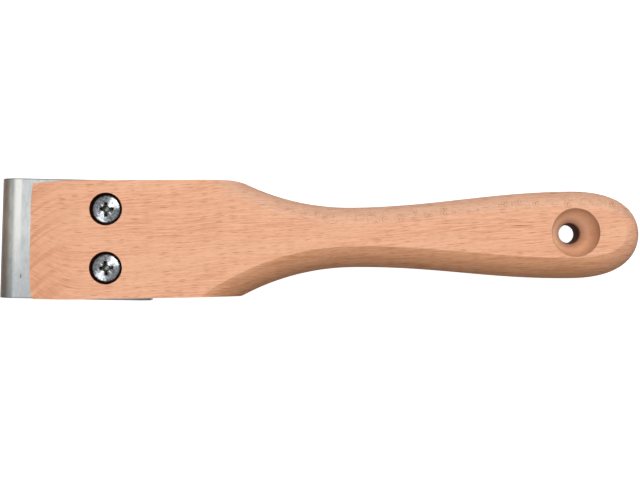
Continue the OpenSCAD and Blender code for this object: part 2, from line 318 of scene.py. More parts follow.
def surface(name, sockets):
    """A new material with its shader's own sockets set."""
    material = bpy.data.materials.new(name)
    material.use_nodes = True
    shader = material.node_tree.nodes["Principled BSDF"]
    for socket, value in sockets.items():
        shader.inputs[socket].default_value = value
    return material, material.node_tree, shader


def dress(obj, material, node):
    """Gives an object its material, and puts it in the place of its node."""
    obj.data.materials.clear()
    obj.data.materials.append(material)
    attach(obj, node)
    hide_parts(node)


# Beech is fine and even. What the eye finds in it are the rays: thin sheets that stand across
# the board, seen from above as short dark dashes along the grain and from the side as flecks.
# The grain runs a little askew and bends at the front, where the rings fan out across it, and
# the cutter tore small crescents into the right side of the grip, against the grain.
grain_a = 3.5 * DEG
bend_l = 24 * MM
bend_h = 9.5 * MM
fan_h = 9 * MM
bow_from, bow_full = 24 * MM, 15 * MM
drift_h = 3 * MM
grip_from, grip_full = -130 * MM, -110 * MM
end_from, end_full = 4 * MM, 24 * MM
tear_step = 0.09
# Tint of the painted shade on the handle's left side.
left_painted_shade = linear("eae1d3")

beech, tree, shader = surface("sanded_beech", {"Roughness": 0.65, "Specular IOR Level": 0.03})
coords = add(tree, "TexCoord")
place = coords.outputs["Object"]
turned = add(tree, "Mapping", {"Vector": place, "Rotation": (0, 0, -grain_a)})
xyz = add(tree, "SeparateXYZ", {0: turned.outputs[0]})
near = add(tree, "MapRange", {"Value": xyz.outputs[0], 1: front_x + bend_l, 2: front_x})
arched = add(tree, "Math", {0: near.outputs[0], 1: 2.0}, operation="POWER")
lower = add(tree, "MapRange", {"Value": xyz.outputs[1], 1: bow_from, 2: bow_full, 3: 0.1, 4: 1.0})
bowed = add(tree, "Math", {0: arched.outputs[0], 1: lower.outputs[0]}, operation="MULTIPLY")
wide = add(tree, "Mapping", {"Vector": place, "Scale": pattern_scale(45, 30, 30)})
drift = add(tree, "TexNoise", {"Vector": wide.outputs[0], "Scale": 1.0, "Detail": 2.0})
drifted = add(tree, "Math", {0: drift.outputs["Fac"], 1: drift_h, 2: xyz.outputs[1]},
              operation="MULTIPLY_ADD")
across = add(tree, "Math", {0: bowed.outputs[0], 1: -bend_h, 2: drifted.outputs[0]},
             operation="MULTIPLY_ADD")
grained = add(tree, "CombineXYZ", {0: xyz.outputs[0], 1: across.outputs[0], 2: xyz.outputs[2]})
along_grain = grained.outputs[0]

sized = add(tree, "Mapping", {"Vector": along_grain, "Scale": pattern_scale(6, 0.45, 7)})
rays = add(tree, "TexVoronoi", {"Vector": sized.outputs[0], "Scale": 1.0, "Randomness": 1.0})
dash = add(tree, "MapRange", {"Value": rays.outputs["Distance"], 1: 0.42, 2: 0.12},
           interpolation_type="SMOOTHSTEP")
chance = add(tree, "SeparateColor", {0: rays.outputs["Color"]})
strong = add(tree, "MapRange", {"Value": chance.outputs[0], 1: 0.2, 2: 1.0},
             interpolation_type="SMOOTHSTEP")
ray = add(tree, "Math", {0: dash.outputs[0], 1: strong.outputs[0]}, operation="MULTIPLY")
# The pores are under 0.1 mm wide, and are drawn coarser so that they show.
sized = add(tree, "Mapping", {"Vector": along_grain, "Scale": pattern_scale(3.2, 0.5, 5)})
pores = add(tree, "TexVoronoi", {"Vector": sized.outputs[0], "Scale": 1.0, "Randomness": 1.0})
pore = add(tree, "MapRange", {"Value": pores.outputs["Distance"], 1: 0.45, 2: 0.1, 4: 0.36},
           interpolation_type="SMOOTHSTEP")
ray = add(tree, "Math", {0: ray.outputs[0], 1: pore.outputs[0]}, operation="MAXIMUM")

sized = add(tree, "Mapping", {"Vector": along_grain, "Scale": pattern_scale(15, 0.55, 2)})
fibre = add(tree, "TexNoise", {"Vector": sized.outputs[0], "Scale": 1.0, "Detail": 3.0})
fine = add(tree, "MapRange", {"Value": fibre.outputs["Fac"], 1: 0.3, 2: 0.7},
           interpolation_type="SMOOTHSTEP")
calm = add(tree, "Math", {0: near.outputs[0], 1: 0.6}, operation="MULTIPLY")
fine = add(tree, "Mix", {0: calm.outputs[0], 2: fine.outputs[0], 3: 0.5})
sized = add(tree, "Mapping", {"Vector": along_grain, "Scale": pattern_scale(70, 9, 2)})
figure = add(tree, "TexNoise", {"Vector": sized.outputs[0], "Scale": 1.0, "Detail": 2.0})
broad = add(tree, "MapRange", {"Value": figure.outputs["Fac"], 1: 0.35, 2: 0.65, 4: 0.6},
            interpolation_type="SMOOTHSTEP")

fanned = add(tree, "Math", {0: arched.outputs[0], 1: fan_h, 2: drifted.outputs[0]},
             operation="MULTIPLY_ADD")
fanned = add(tree, "CombineXYZ", {0: xyz.outputs[0], 1: fanned.outputs[0], 2: xyz.outputs[2]})
sized = add(tree, "Mapping", {"Vector": fanned.outputs[0], "Scale": pattern_scale(30, 2.2, 6)})
fan = add(tree, "TexNoise", {"Vector": sized.outputs[0], "Scale": 1.0, "Detail": 1.0})
rings = add(tree, "MapRange", {"Value": fan.outputs["Fac"], 1: 0.4, 2: 0.6, 3: 0.15, 4: 0.75},
            interpolation_type="SMOOTHSTEP")
rings = add(tree, "Math", {0: rings.outputs[0], 1: near.outputs[0]}, operation="MULTIPLY")

flat = add(tree, "VectorMath", {0: place, 1: (1, 1, 0)}, operation="MULTIPLY")
from_hole = add(tree, "VectorMath", {0: flat.outputs[0]}, operation="LENGTH")
outside = add(tree, "MapRange", {"Value": from_hole.outputs[1], 1: bowl_r, 2: bowl_r + rim_ease})
faced = add(tree, "SeparateXYZ", {0: coords.outputs["Normal"]})
right = add(tree, "MapRange", {"Value": faced.outputs[1], 1: 0.25, 2: 0.5})
gripped = add(tree, "MapRange", {"Value": xyz.outputs[0], 1: grip_from, 2: grip_full})
steep = add(tree, "MapRange", {"Value": faced.outputs[1], 1: 0.8, 2: 0.7})
torn = right
for mask in (gripped, steep, outside):
    torn = add(tree, "Math", {0: torn.outputs[0], 1: mask.outputs[0]}, operation="MULTIPLY")
sized = add(tree, "Mapping", {"Vector": place, "Scale": pattern_scale(0.9, 4, 4)})
chatter = add(tree, "TexNoise", {"Vector": sized.outputs[0], "Scale": 1.0, "Detail": 1.0})
rough = add(tree, "MapRange", {"Value": chatter.outputs["Fac"], 1: 0.5, 2: 0.75, 4: 0.35},
            interpolation_type="SMOOTHSTEP")
rough = add(tree, "Math", {0: rough.outputs[0], 1: torn.outputs[0]}, operation="MULTIPLY")
sized = add(tree, "Mapping", {"Vector": place, "Scale": pattern_scale(6.5, 5, 30)})
tears = add(tree, "TexVoronoi", {"Vector": sized.outputs[0], "Scale": 1.0, "Randomness": 0.8},
            voronoi_dimensions="2D")
away = add(tree, "VectorMath", {0: sized.outputs[0], 1: tears.outputs["Position"]},
           operation="SUBTRACT")
ring_off = add(tree, "Math", {0: tears.outputs["Distance"], 1: tear_step}, operation="PINGPONG")
on_ring = add(tree, "MapRange", {"Value": ring_off.outputs[0], 1: 0.04, 2: tear_step},
              interpolation_type="SMOOTHSTEP")
within = add(tree, "MapRange", {"Value": tears.outputs["Distance"], 1: 0.5, 2: 0.4})
side_x = add(tree, "SeparateXYZ", {0: away.outputs[0]})
half = add(tree, "MapRange", {"Value": side_x.outputs[0], 1: 0.08, 2: -0.14},
           interpolation_type="SMOOTHSTEP")
chance = add(tree, "SeparateColor", {0: tears.outputs["Color"]})
some = add(tree, "MapRange", {"Value": chance.outputs[0], 1: 0.45, 2: 0.7})
crescent = on_ring
for mask in (within, half, some, torn):
    crescent = add(tree, "Math", {0: crescent.outputs[0], 1: mask.outputs[0]},
                   operation="MULTIPLY")
crescent = add(tree, "Math", {0: crescent.outputs[0], 1: rough.outputs[0]}, operation="MAXIMUM")

colour = add(tree, "Mix", {0: fine.outputs[0], 6: linear("de9e7c"), 7: linear("f6bc9a")},
             data_type="RGBA")
colour = add(tree, "Mix", {0: broad.outputs[0], 6: colour.outputs[2], 7: linear("f2bb98")},
             data_type="RGBA")
colour = add(tree, "Mix", {0: rings.outputs[0], 6: colour.outputs[2], 7: linear("d39470")},
             data_type="RGBA")
# Painted shade: faces turned to -y, the handle's left side, are tinted deeper, less so towards the
# tip, and not in the bowl.
left = add(tree, "MapRange", {"Value": faced.outputs[1], 1: -0.15, 2: -0.45})
ended = add(tree, "MapRange", {"Value": xyz.outputs[0], 1: end_from, 2: end_full, 3: 1.0, 4: 0.35})
for mask in (outside, ended):
    left = add(tree, "Math", {0: left.outputs[0], 1: mask.outputs[0]}, operation="MULTIPLY")
colour = add(tree, "Mix", {0: left.outputs[0], 6: colour.outputs[2], 7: left_painted_shade},
             data_type="RGBA", blend_type="MULTIPLY")
# Painted sheen: faces turned to +y, the handle's right side, are paled outside the bowl.
right_painted_sheen = add(tree, "Math", {0: right.outputs[0], 1: 0.3}, operation="MULTIPLY")
right_painted_sheen = add(tree, "Math", {0: right_painted_sheen.outputs[0], 1: outside.outputs[0]}, operation="MULTIPLY")
colour = add(tree, "Mix", {0: right_painted_sheen.outputs[0], 6: colour.outputs[2], 7: linear("d9baa6")},
             data_type="RGBA")
flecks = add(tree, "Math", {0: ray.outputs[0], 1: 0.68}, operation="MULTIPLY")
colour = add(tree, "Mix", {0: flecks.outputs[0], 6: colour.outputs[2], 7: linear("a9694a")},
             data_type="RGBA")
marks = add(tree, "Math", {0: crescent.outputs[0], 1: 0.55}, operation="MULTIPLY")
colour = add(tree, "Mix", {0: marks.outputs[0], 6: colour.outputs[2], 7: linear("96562f")},
             data_type="RGBA")

# Painted light and shade in the bowl, over a paler end-grain tone: walls facing +x and -y are
# painted paler, and walls facing the other way darker.
cut = add(tree, "VectorMath", {0: coords.outputs["Normal"], 1: (0.5, -0.85, 0)},
          operation="DOT_PRODUCT")
cut = add(tree, "MapRange", {"Value": cut.outputs[1], 1: -0.5, 2: 0.5})
cut = add(tree, "Mix", {0: cut.outputs[0], 6: linear("cc9e7c"), 7: linear("ffd6b4")},
          data_type="RGBA")
in_bowl = add(tree, "MapRange", {"Value": outside.outputs[0], 3: 0.65, 4: 0.0})
colour = add(tree, "Mix", {0: in_bowl.outputs[0], 6: colour.outputs[2], 7: cut.outputs[2]},
             data_type="RGBA")

# One dark streak of open pores lies in front of the hanging hole.
streak = (-23.5 * MM, 3.2 * MM, board_t)
streak_size = (6.5 * MM, 0.28 * MM, 1 * MM)
off = add(tree, "VectorMath", {0: place, 1: streak}, operation="SUBTRACT")
off = add(tree, "VectorMath", {0: off.outputs[0], 1: streak_size}, operation="DIVIDE")
off = add(tree, "VectorMath", {0: off.outputs[0]}, operation="LENGTH")
streaked = add(tree, "MapRange", {"Value": off.outputs[1], 1: 1.0, 2: 0.3, 4: 0.75})
colour = add(tree, "Mix", {0: streaked.outputs[0], 6: colour.outputs[2], 7: linear("96562f")},
             data_type="RGBA")

# The walls of the counterbores and of the hanging hole's bore are painted dark: partly wood the
# drills burnt, partly painted shade, which deepens down the bore and fades out in the bowl.
burn_shade_w = 0.2 * MM
burn_shade_top, burn_shade_full = 12 * MM, 7 * MM
burnt_and_shaded = 0.0
for axis in axes.values():
    off = add(tree, "VectorMath", {0: flat.outputs[0], 1: axis}, operation="DISTANCE")
    here = add(tree, "MapRange",
               {"Value": off.outputs[1], 1: counterbore_r + burn_shade_w, 2: counterbore_r})
    burnt_and_shaded = add(tree, "Math", {0: burnt_and_shaded, 1: here.outputs[0]}, operation="MAXIMUM").outputs[0]
here = add(tree, "MapRange", {"Value": from_hole.outputs[1], 1: bowl_r, 2: bowl_r - burn_shade_w})
height = add(tree, "SeparateXYZ", {0: place})
deep = add(tree, "MapRange", {"Value": height.outputs[2], 1: burn_shade_top, 2: burn_shade_full, 4: 0.95},
           interpolation_type="SMOOTHSTEP")
here = add(tree, "Math", {0: here.outputs[0], 1: deep.outputs[0]}, operation="MULTIPLY")
burnt_and_shaded = add(tree, "Math", {0: burnt_and_shaded, 1: here.outputs[0]}, operation="MAXIMUM")
colour = add(tree, "Mix", {0: burnt_and_shaded.outputs[0], 6: colour.outputs[2], 7: linear("3d1c0e")},
             data_type="RGBA")
relief = add(tree, "Math", {0: ray.outputs[0], 1: crescent.outputs[0]}, operation="ADD")
bump = add(tree, "Bump", {"Height": relief.outputs[0], "Strength": 0.25, "Distance": -0.05 * MM})
tree.links.new(colour.outputs[2], shader.inputs["Base Color"])
tree.links.new(bump.outputs[0], shader.inputs["Normal"])
dress(handle, beech, "handle")

# Blade
# One plate of 1.5 mm galvanised spring steel under the head, with both ends turned down, the
# front one in a slower bend. The front end carries the scraping edge, ground from the inside.
plate_t = 1.5 * MM
plate_w = 53.2 * MM
plate_front = -52 * MM
plate_rear = 15.7 * MM
bend_r = 7 * MM
front_reach = 9.1 * MM
lip_h = 11 * MM
grind_h = 2.2 * MM
edge_t = 0.2 * MM
blade_hole_r = 7.2 / 2 * MM
hole_half = 12.5 * MM
blade_ease = 0.09 * MM
blade_skew = 1.8 * DEG
rear_lag = 34 * DEG
highlight_x = plate_front + 9.6 * MM
highlight_w = 1.2 * MM
side_dark_w = 0.5 * MM
side_dark_fade = 0.2 * MM
low_shade_from = 5 * MM
bright_from, bright_full = -15 * MM, 20 * MM
nick = (-41.2 * MM, -16.8 * MM, 0)
nick_size = (0.45 * MM, 1.3 * MM, 0.6 * MM)
screw_mid = (axes["left"] + axes["right"]) / 2


def bent(end_x, reach, start, end, inset=0):
    """Points along a bend of the plate, an ellipse's quarter, inset from its outer skin."""
    middle_x = end_x + reach if end_x < 0 else end_x - reach
    turn = arc((0, 0), 1, start, end, 24)
    return [(middle_x + (reach - inset) * x, -bend_r + (bend_r - inset) * z) for x, z in turn]


outer = ([(plate_front, -lip_h)] + bent(plate_front, front_reach, pi, pi / 2)
         + bent(plate_rear, bend_r, pi / 2, 0) + [(plate_rear, -lip_h)])
inner = ([(plate_rear - plate_t, -lip_h)] + bent(plate_rear, bend_r, 0, pi / 2, plate_t)
         + bent(plate_front, front_reach, pi / 2, pi, plate_t)
         + [(plate_front + plate_t, grind_h - lip_h), (plate_front + edge_t, -lip_h)])
skewed = Matrix.Translation(screw_mid) @ Matrix.Rotation(-blade_skew, 4, "Z")
bm = bmesh.new()
flank = bm.faces.new([bm.verts.new((x, -plate_w / 2, z)) for x, z in outer + inner])
far = bmesh.ops.extrude_face_region(bm, geom=[flank], use_keep_orig=True)["geom"]
far = [v for v in far if isinstance(v, bmesh.types.BMVert)]
bmesh.ops.translate(bm, verts=far, vec=(0, plate_w, 0))
bmesh.ops.transform(bm, matrix=skewed, verts=bm.verts)
blade = piece("bent_blade", bm)
below = -plate_t - overrun
punch = [(0, below), (blade_hole_r, below), (blade_hole_r, overrun), (0, overrun)]
bm = bmesh.new()
for hole_y in (-hole_half, hole_half):
    lathe(bm, punch, 64, skewed @ Vector((0, hole_y, 0)))
carve(blade, piece("hole_punches", bm))
smooth(blade, 20 * DEG, blade_ease, 40 * DEG)

# Galvanised sheet shows soft clouds and pale spangles. A painted highlight lies where the front
# bend begins, painted shade and reflection darken and brown the bends as they turn down, painted
# shade darkens the plate towards its -y side, and the plate is darker along its long sides.
steel, tree, shader = surface("galvanised_sheet", {"Metallic": 1.0})
coords = add(tree, "TexCoord")
on_plate = add(tree, "Mapping", {
    "Vector": coords.outputs["Object"], "Rotation": (0, 0, blade_skew),
    "Location": Matrix.Rotation(blade_skew, 3, "Z") @ -screw_mid,
}).outputs[0]
sized = add(tree, "Mapping", {"Vector": on_plate, "Scale": pattern_scale(2.6, 7, 4)})
cloud = add(tree, "TexNoise",
            {"Vector": sized.outputs[0], "Scale": 1.0, "Detail": 4.0, "Roughness": 0.6})
clouded = add(tree, "MapRange", {"Value": cloud.outputs["Fac"], 1: 0.3, 2: 0.7},
              interpolation_type="SMOOTHSTEP")
sized = add(tree, "Mapping", {"Vector": on_plate, "Scale": pattern_scale(3, 5, 4)})
spangle = add(tree, "TexVoronoi", {"Vector": sized.outputs[0], "Scale": 1.0})
tone = add(tree, "SeparateColor", {0: spangle.outputs["Color"]})
spangled = add(tree, "Math", {0: tone.outputs[0], 1: 0.3}, operation="MULTIPLY")
colour = add(tree, "Mix", {0: clouded.outputs[0], 6: linear("a0a4a5"), 7: linear("c0c1bd")},
             data_type="RGBA")
colour = add(tree, "Mix", {0: spangled.outputs[0], 6: colour.outputs[2], 7: linear("aeb4b9")},
             data_type="RGBA")
blade_xyz = add(tree, "SeparateXYZ", {0: on_plate})
# Painted shade: the plate darkens towards its -y side, and the dark spots below follow it.
painted_low_shade = add(tree, "MapRange", {"Value": blade_xyz.outputs[1], 1: low_shade_from, 2: -plate_w / 2, 4: 0.95})
colour = add(tree, "Mix", {0: painted_low_shade.outputs[0], 6: colour.outputs[2], 7: linear("878a8c")},
             data_type="RGBA")
faced = add(tree, "SeparateXYZ", {0: coords.outputs["Normal"]})
leaning = add(tree, "Math", {0: faced.outputs[2]}, operation="ARCCOSINE")
lag = add(tree, "MapRange", {"Value": blade_xyz.outputs[0], 1: 0.0, 2: plate_t, 4: rear_lag})
tilt = add(tree, "Math", {0: leaning.outputs[0], 1: lag.outputs[0]}, operation="SUBTRACT")
turned = add(tree, "Math", {0: tilt.outputs[0], 1: 90 * DEG}, operation="DIVIDE")
# Painted shade and reflection: the bends darken and turn brown as the surface tilts down, and
# lighten again on the steep lip.
painted_bend_shade = add(tree, "ValToRGB", {"Fac": turned.outputs[0]})
stops = painted_bend_shade.color_ramp.elements
stops.remove(stops[1])
stops[0].color = linear("ffffff")
for tilted, shade in (
    (8, "ffffff"), (13, "e6e5e3"), (18, "e8e6e1"), (22, "dad5cc"), (28, "bcab9c"), (36, "a68f7d"),
    (42, "8c7866"), (52, "746450"), (62, "6b5e4c"), (76, "7d7568"), (88, "9a9792"),
):
    stops.new(tilted / 90).color = linear(shade)
colour = add(tree, "Mix", {0: 1.0, 6: colour.outputs[2], 7: painted_bend_shade.outputs[0]},
             data_type="RGBA", blend_type="MULTIPLY")
# Painted highlight: a pale band where the front bend begins, on faces that tilt under 15 degrees,
# fading towards -y.
highlight_start = add(tree, "MapRange", {"Value": blade_xyz.outputs[0], 1: highlight_x + highlight_w, 2: highlight_x},
           interpolation_type="SMOOTHSTEP")
level = add(tree, "MapRange", {"Value": tilt.outputs[0], 1: 15 * DEG, 2: 5 * DEG},
            interpolation_type="SMOOTHSTEP")
upper = add(tree, "MapRange",
            {"Value": blade_xyz.outputs[1], 1: bright_from, 2: bright_full, 4: 0.8})
painted_band_highlight = highlight_start
for mask in (level, upper):
    painted_band_highlight = add(tree, "Math", {0: painted_band_highlight.outputs[0], 1: mask.outputs[0]}, operation="MULTIPLY")
colour = add(tree, "Mix", {0: painted_band_highlight.outputs[0], 6: colour.outputs[2], 7: linear("d8d5d0")},
             data_type="RGBA")
sized = add(tree, "Mapping", {"Vector": on_plate, "Scale": pattern_scale(0.8, 1.3, 2)})
spots = add(tree, "TexNoise", {"Vector": sized.outputs[0], "Scale": 1.0, "Detail": 1.0})
spotted = add(tree, "MapRange", {"Value": spots.outputs["Fac"], 1: 0.5, 2: 0.7, 4: 0.3})
spotted = add(tree, "Math", {0: spotted.outputs[0], 1: painted_low_shade.outputs[0]}, operation="MULTIPLY")
colour = add(tree, "Mix", {0: spotted.outputs[0], 6: colour.outputs[2], 7: linear("6b6e70")},
             data_type="RGBA")
# The plate is darker along its long sides.
side_dark = add(tree, "Math", {0: blade_xyz.outputs[1]}, operation="ABSOLUTE")
edge_y = plate_w / 2 - side_dark_w
side_dark = add(tree, "MapRange",
              {"Value": side_dark.outputs[0], 1: edge_y, 2: edge_y + side_dark_fade, 4: 0.8})
colour = add(tree, "Mix", {0: side_dark.outputs[0], 6: colour.outputs[2], 7: linear("55585a")},
             data_type="RGBA")
nick_off = add(tree, "VectorMath", {0: on_plate, 1: nick}, operation="SUBTRACT")
nick_off = add(tree, "VectorMath", {0: nick_off.outputs[0], 1: nick_size}, operation="DIVIDE")
nick_off = add(tree, "VectorMath", {0: nick_off.outputs[0]}, operation="LENGTH")
nicked = add(tree, "MapRange", {"Value": nick_off.outputs[1], 1: 1.0, 2: 0.5, 4: 0.8})
colour = add(tree, "Mix", {0: nicked.outputs[0], 6: colour.outputs[2], 7: linear("4a443c")},
             data_type="RGBA")
sheen = add(tree, "MapRange", {"Value": cloud.outputs["Fac"], 1: 0.2, 2: 0.8, 3: 0.34, 4: 0.26})
tree.links.new(colour.outputs[2], shader.inputs["Base Color"])
tree.links.new(sheen.outputs[0], shader.inputs["Roughness"])
dress(blade, steel, "blade")

# Screws
# Two M6 machine screws of zinc-plated steel with a turned pan head, sunk just below the wood.
# Their cross recess has four shallow marks between its arms, and the thread runs up to the head.
screw_r = 3 * MM
pitch = 1 * MM
thread_h = 0.55 * MM
screw_end = -9.6 * MM
screw_chamfer = 0.8 * MM
pan_r = 11.8 / 2 * MM
pan_h = 4.4 * MM
pan_dome_r = 15 * MM
pan_edge_r = 0.7 * MM
pan_foot = 0.1 * MM
rod_overlap = 0.5 * MM
cross_r = 3.8 * MM
cross_floor_r = 2.1 * MM
cross_h = 3 * MM
arm_t = 1.5 * MM
core_w = 2.7 * MM
core_h = 2 * MM
mark_w = 0.5 * MM
mark_h = 0.5 * MM
mark_reach = 4.3 * MM
weld = 0.003 * MM
cross_a = {"right": -1 * DEG, "left": 4 * DEG}


def threaded_rod(bm, radius, low, high, centre):
    """A rod with a real right-hand thread, cut off flat at both ends."""
    turns = floor((high - low) / pitch) + 3
    start = (floor(low / pitch) - 1) * pitch
    core = radius - thread_h
    profile = [(core, 0), (core, 0.15), (radius, 0.44), (radius, 0.56), (core, 0.85), (core, 1)]
    verts = [bm.verts.new(Vector(centre) + Vector((r, 0, start + z * pitch))) for r, z in profile]
    edges = [bm.edges.new(pair) for pair in zip(verts, verts[1:])]
    steps = 36
    bmesh.ops.spin(
        bm, geom=verts + edges, cent=centre, axis=(0, 0, 1), dvec=(0, 0, pitch / steps),
        angle=2 * pi * turns, steps=steps * turns, use_merge=False, use_duplicate=False,
    )
    bmesh.ops.remove_doubles(bm, verts=bm.verts, dist=1e-6)
    for height, normal in ((low, (0, 0, -1)), (high, (0, 0, 1))):
        geom = list(bm.verts) + list(bm.edges) + list(bm.faces)
        cut = bmesh.ops.bisect_plane(
            bm, geom=geom, dist=1e-7, plane_co=(0, 0, height), plane_no=normal, clear_outer=True,
        )
        rim = [e for e in cut["geom_cut"] if isinstance(e, bmesh.types.BMEdge)]
        bmesh.ops.holes_fill(bm, edges=rim)


def block(bm, size, centre):
    """A box of that size."""
    made = bmesh.ops.create_cube(bm, size=1)["verts"]
    bmesh.ops.scale(bm, vec=size, verts=made)
    bmesh.ops.translate(bm, vec=centre, verts=made)


def sink_recess(head, side):
    """Cuts the tapered cross, its square core and the marks into the top of a screw's head."""
    top = seat_z + pan_h
    in_place = Matrix.Translation(axes[side]) @ Matrix.Rotation(cross_a[side], 4, "Z")
    slope = (cross_r - cross_floor_r) / cross_h
    long = 2 * cross_r + overrun
    cuts = [(long, arm_t, cross_h, 0), (arm_t, long, cross_h, 0), (core_w, core_w, core_h, 0),
            (2 * mark_reach, mark_w, mark_h, pi / 4), (mark_w, 2 * mark_reach, mark_h, pi / 4)]
    for length, width, depth, turn in cuts:
        bm = bmesh.new()
        block(bm, (length, width, depth + overrun), (0, 0, top - depth + (depth + overrun) / 2))
        bmesh.ops.rotate(bm, verts=bm.verts, matrix=Matrix.Rotation(turn, 3, "Z"), cent=(0, 0, 0))
        bmesh.ops.transform(bm, matrix=in_place, verts=bm.verts)
        tool = piece("cut", bm)
        if depth == cross_h:
            low, high = top - cross_h - overrun, top + 2 * overrun
            cone = [(cross_floor_r - slope * overrun, low), (cross_r + slope * 2 * overrun, high)]
            bm = bmesh.new()
            lathe(bm, [(0, low)] + cone + [(0, high)], 64, axes[side])
            carve(tool, piece("taper", bm), "INTERSECT")
        carve(head, tool)
    bm = bmesh.new()
    bm.from_mesh(head.data)
    bmesh.ops.remove_doubles(bm, verts=bm.verts, dist=weld)
    bmesh.ops.dissolve_degenerate(bm, edges=bm.edges, dist=weld)
    bm.to_mesh(head.data)
    bm.free()


def screw(side):
    """One screw: a turned head with its recess, on a threaded rod."""
    dome_z = pan_h - pan_dome_r
    edge_rise = sqrt((pan_dome_r - pan_edge_r) ** 2 - (pan_r - pan_edge_r) ** 2)
    edge_a = atan2(edge_rise, pan_r - pan_edge_r)
    edge = arc((pan_r - pan_edge_r, dome_z + edge_rise), pan_edge_r, 0, edge_a, 8)
    dome = arc((0, dome_z), pan_dome_r, edge_a, pi / 2, 24)[1:-1] + [(0, pan_h)]
    bm = bmesh.new()
    under = [(0, 0), (pan_r - pan_foot, 0), (pan_r, pan_foot)]
    lathe(bm, [(r, seat_z + z) for r, z in under + edge + dome], 96, axes[side])
    head = piece(f"{side}_pan_screw", bm)
    sink_recess(head, side)
    bm = bmesh.new()
    threaded_rod(bm, screw_r, screw_end, seat_z + rod_overlap, axes[side])
    rod = piece("rod", bm)
    wide_r = screw_r + overrun
    tip = [(0, screw_end - overrun), (screw_r - screw_chamfer - overrun, screw_end - overrun)]
    clear = [(wide_r, screw_end + screw_chamfer + overrun), (wide_r, seat_z + pan_h)]
    bm = bmesh.new()
    lathe(bm, tip + clear + [(0, seat_z + pan_h)], 64, axes[side])
    carve(rod, piece("point", bm), "INTERSECT")
    carve(head, rod, "UNION")
    smooth(head, 25 * DEG)
    return head


# The heads were turned, so their gloss spreads across the fine grooves. Their recess is painted
# darker with depth as painted shade, with a painted highlight on its marks and shallow parts and a
# painted reflection at its middle.
plate, tree, shader = surface("turned_zinc_plate", {"Metallic": 1.0, "Anisotropic": 0.85})
place = add(tree, "TexCoord").outputs["Object"]
xyz = add(tree, "SeparateXYZ", {0: place})
on_right = add(tree, "Math", {0: xyz.outputs[1], 1: 0.0}, operation="GREATER_THAN")
centre = add(tree, "Mix", {0: on_right.outputs[0], 4: axes["left"], 5: axes["right"]},
             data_type="VECTOR")
off = add(tree, "VectorMath", {0: place, 1: centre.outputs[1]}, operation="SUBTRACT")
outward = add(tree, "VectorMath", {0: off.outputs[0], 1: (1, 1, 0)}, operation="MULTIPLY")
radius = add(tree, "VectorMath", {0: outward.outputs[0]}, operation="LENGTH")
fall = add(tree, "Math", {0: radius.outputs[1], 1: 2.0}, operation="POWER")
fall = add(tree, "Math", {0: fall.outputs[0], 1: 2 * pan_dome_r}, operation="DIVIDE")
sunk = add(tree, "Math", {0: fall.outputs[0], 1: xyz.outputs[2]}, operation="ADD")
head_z = seat_z + pan_h
recess_shade_top, recess_shade_full = head_z - 0.6 * MM, head_z - 1.4 * MM
shallow_highlight_top, shallow_highlight_full = head_z - 0.1 * MM, head_z - 0.3 * MM
rim_r, rim_w = mark_reach + 0.1 * MM, 0.2 * MM
core_spot_r, core_full_r = 1.1 * MM, 0.5 * MM
recess_shade = add(tree, "MapRange", {"Value": sunk.outputs[0], 1: recess_shade_top, 2: recess_shade_full})
shallow_highlight = add(tree, "MapRange", {"Value": sunk.outputs[0], 1: shallow_highlight_top, 2: shallow_highlight_full})
under = add(tree, "MapRange", {"Value": xyz.outputs[2], 1: seat_z, 2: head_z - cross_h})
inside = add(tree, "MapRange", {"Value": radius.outputs[1], 1: rim_r + rim_w, 2: rim_r})
for mask in (under, inside):
    recess_shade = add(tree, "Math", {0: recess_shade.outputs[0], 1: mask.outputs[0]}, operation="MULTIPLY")
    shallow_highlight = add(tree, "Math", {0: shallow_highlight.outputs[0], 1: mask.outputs[0]}, operation="MULTIPLY")
sized = add(tree, "Mapping", {"Vector": place, "Scale": pattern_scale(0.9, 0.9, 0.9)})
cloud = add(tree, "TexNoise", {"Vector": sized.outputs[0], "Scale": 1.0, "Detail": 3.0})
clouded = add(tree, "MapRange", {"Value": cloud.outputs["Fac"], 1: 0.3, 2: 0.7},
              interpolation_type="SMOOTHSTEP")
colour = add(tree, "Mix", {0: clouded.outputs[0], 6: linear("4f5255"), 7: linear("909396")},
             data_type="RGBA")
# Painted highlight: the recess's marks and shallow parts are paled.
colour = add(tree, "Mix", {0: shallow_highlight.outputs[0], 6: colour.outputs[2], 7: linear("e0e3e4")},
             data_type="RGBA")
# Painted shade: the recess darkens from 0.6 mm under the dome downwards.
colour = add(tree, "Mix", {0: recess_shade.outputs[0], 6: colour.outputs[2], 7: linear("30332c")},
             data_type="RGBA")
# Painted reflection: a paler spot at the middle of the recess.
core = add(tree, "MapRange", {"Value": radius.outputs[1], 1: core_spot_r, 2: core_full_r, 4: 0.6})
core = add(tree, "Math", {0: core.outputs[0], 1: under.outputs[0]}, operation="MULTIPLY")
colour = add(tree, "Mix", {0: core.outputs[0], 6: colour.outputs[2], 7: linear("8d908c")},
             data_type="RGBA")
sheen = add(tree, "MapRange", {"Value": cloud.outputs["Fac"], 1: 0.25, 2: 0.75, 3: 0.28, 4: 0.4})
tree.links.new(colour.outputs[2], shader.inputs["Base Color"])
tree.links.new(sheen.outputs[0], shader.inputs["Roughness"])
tree.links.new(outward.outputs[0], shader.inputs["Tangent"])
for side in ("left", "right"):
    dress(screw(side), plate, f"{side}_screw")

# Washers and nuts
# A plain punched washer and a hexagon nut under the blade on each screw, both zinc plated.
# Punching leaves a washer's upper rim rounded and its lower one sharp.
washer_r = 6 * MM
washer_bore_r = 3.2 * MM
washer_t = 1.6 * MM
nut_w = 10 * MM
nut_a = {"right": 12 * DEG, "left": -21 * DEG}
thread_clear = 0.05 * MM
bearing_gap = 0.01 * MM
nut_sink = 0.9 * MM
round_e = 0.3 * MM
sharp_e = 0.08 * MM
face_share = 0.95


